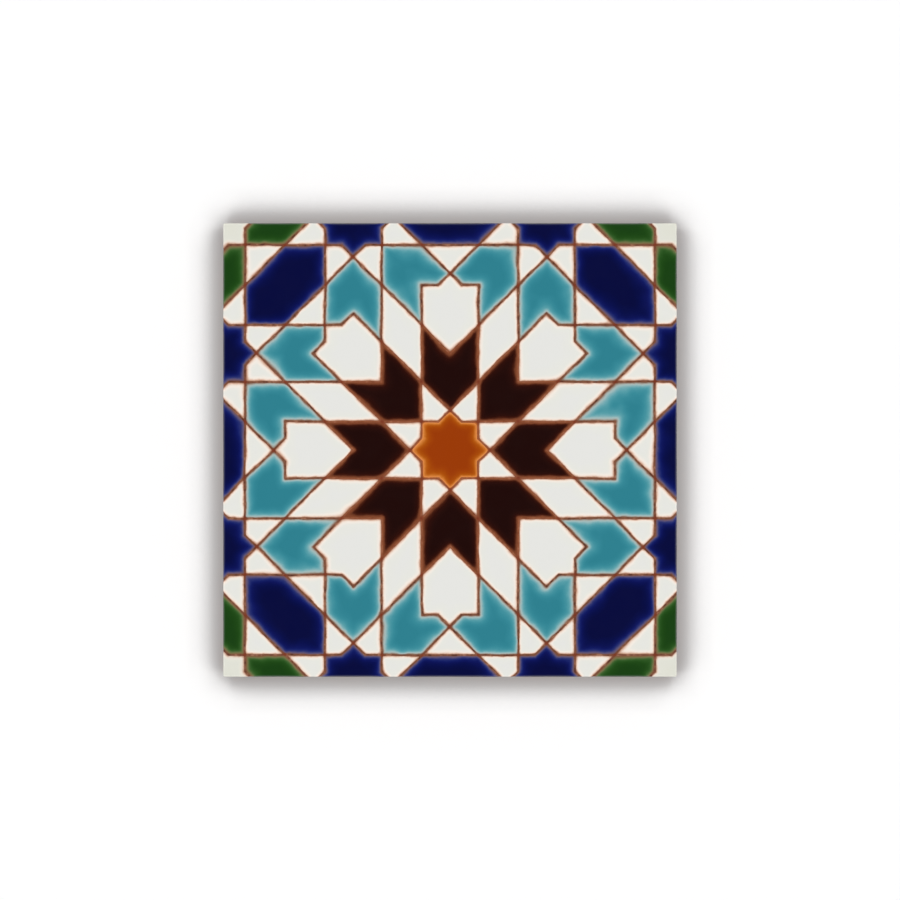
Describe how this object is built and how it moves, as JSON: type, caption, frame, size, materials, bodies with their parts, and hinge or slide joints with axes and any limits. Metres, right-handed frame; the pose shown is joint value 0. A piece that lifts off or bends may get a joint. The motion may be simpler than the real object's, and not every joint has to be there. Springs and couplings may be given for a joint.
{
  "type": "moroccan tile",
  "caption": "Square glazed relief tile with an eight-fold star-and-strap pattern of raised clay ridges between shallow glaze cells, and a keyed back.",
  "frame": {"origin": "middle of the back, in the plane the tile lies on", "axes": "+Z from the back to the glazed face, X and Y along the sides of the square"},
  "size_m": [0.2, 0.2, 0.01],
  "materials": {
    "fired_clay": "matt on the ridges, the sides and the back",
    "white_glaze": "gloss",
    "turquoise_glaze": "gloss",
    "navy_glaze": "gloss",
    "black_brown_glaze": "gloss",
    "amber_glaze": "gloss",
    "green_glaze": "gloss"
  },
  "bodies": {
    "root": {"tile": "fired_clay"}
  },
  "joints": []
}
